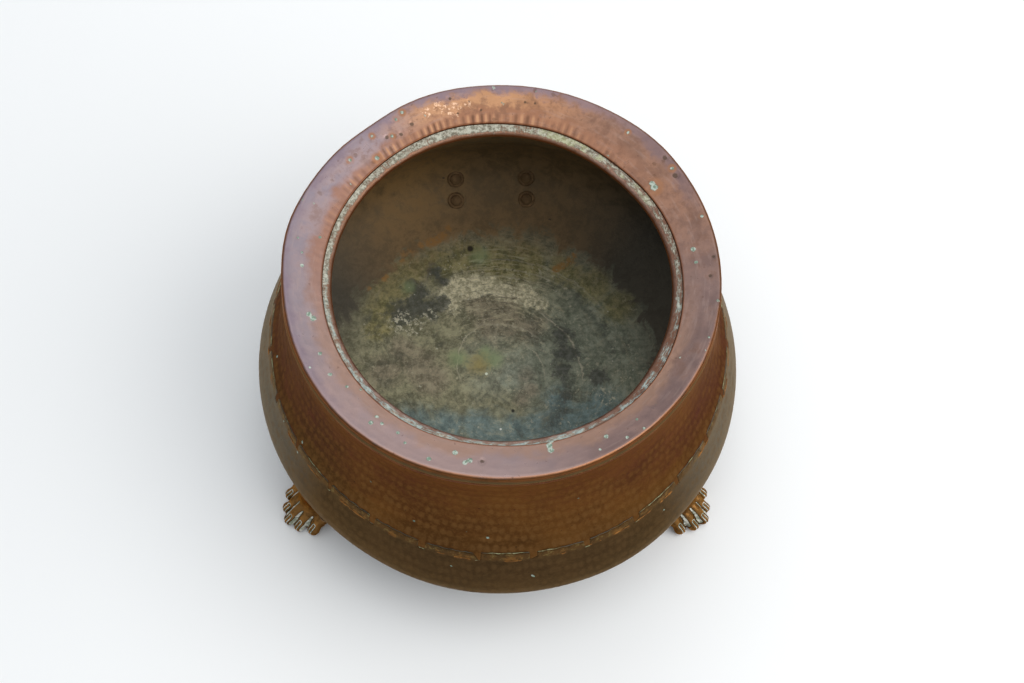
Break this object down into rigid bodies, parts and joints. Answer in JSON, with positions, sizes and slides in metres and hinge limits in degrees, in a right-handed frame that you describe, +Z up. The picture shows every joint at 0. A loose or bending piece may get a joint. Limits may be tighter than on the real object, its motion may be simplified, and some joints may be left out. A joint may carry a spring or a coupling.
{
  "type": "cauldron",
  "caption": "Hammered copper cauldron with a broad in-turned rim, a cramped seam round its belly and cast brass paw feet; holds logs, plants or water.",
  "frame": {"origin": "on the floor, in the middle of the rectangle that the whole pot covers; the pot's own axis stands 8.8 mm in front of it (-Y), because the rear foot reaches past the belly", "axes": "+Z up along the pot's axis, -Y towards the front between the two front feet, +X to the right"},
  "size_m": [0.45, 0.4676, 0.285],
  "materials": {
    "shoulder_copper": "hammered sheet copper, worn red-brown patina",
    "bowl_copper": "hammered sheet copper, dark olive-brown patina",
    "rim_copper": "planished sheet copper, pink-brown patina with verdigris spots",
    "soldered_edge": "copper edge under grey-green solder",
    "iron_wire": "drawn iron",
    "cast_brass": "cast brass, browned, pale residue in the grooves",
    "rivet_copper": "hammered copper"
  },
  "bodies": {
    "root": {"upper_body": "shoulder_copper", "lower_bowl": "bowl_copper", "rim_flange": "rim_copper", "mouth_ring": "soldered_edge", "mouth_wire": "iron_wire", "foot_left": "cast_brass", "foot_right": "cast_brass", "foot_rear": "cast_brass", "rivet_left_1": "rivet_copper", "rove_left_1": "rivet_copper", "rivet_left_2": "rivet_copper", "rove_left_2": "rivet_copper", "rivet_left_3": "rivet_copper", "rove_left_3": "rivet_copper", "rivet_left_4": "rivet_copper", "rove_left_4": "rivet_copper", "rivet_right_1": "rivet_copper", "rove_right_1": "rivet_copper", "rivet_right_2": "rivet_copper", "rove_right_2": "rivet_copper", "rivet_right_3": "rivet_copper", "rove_right_3": "rivet_copper", "rivet_right_4": "rivet_copper", "rove_right_4": "rivet_copper", "rivet_rear_1": "rivet_copper", "rove_rear_1": "rivet_copper", "rivet_rear_2": "rivet_copper", "rove_rear_2": "rivet_copper", "rivet_rear_3": "rivet_copper", "rove_rear_3": "rivet_copper", "rivet_rear_4": "rivet_copper", "rove_rear_4": "rivet_copper"}
  },
  "joints": []
}
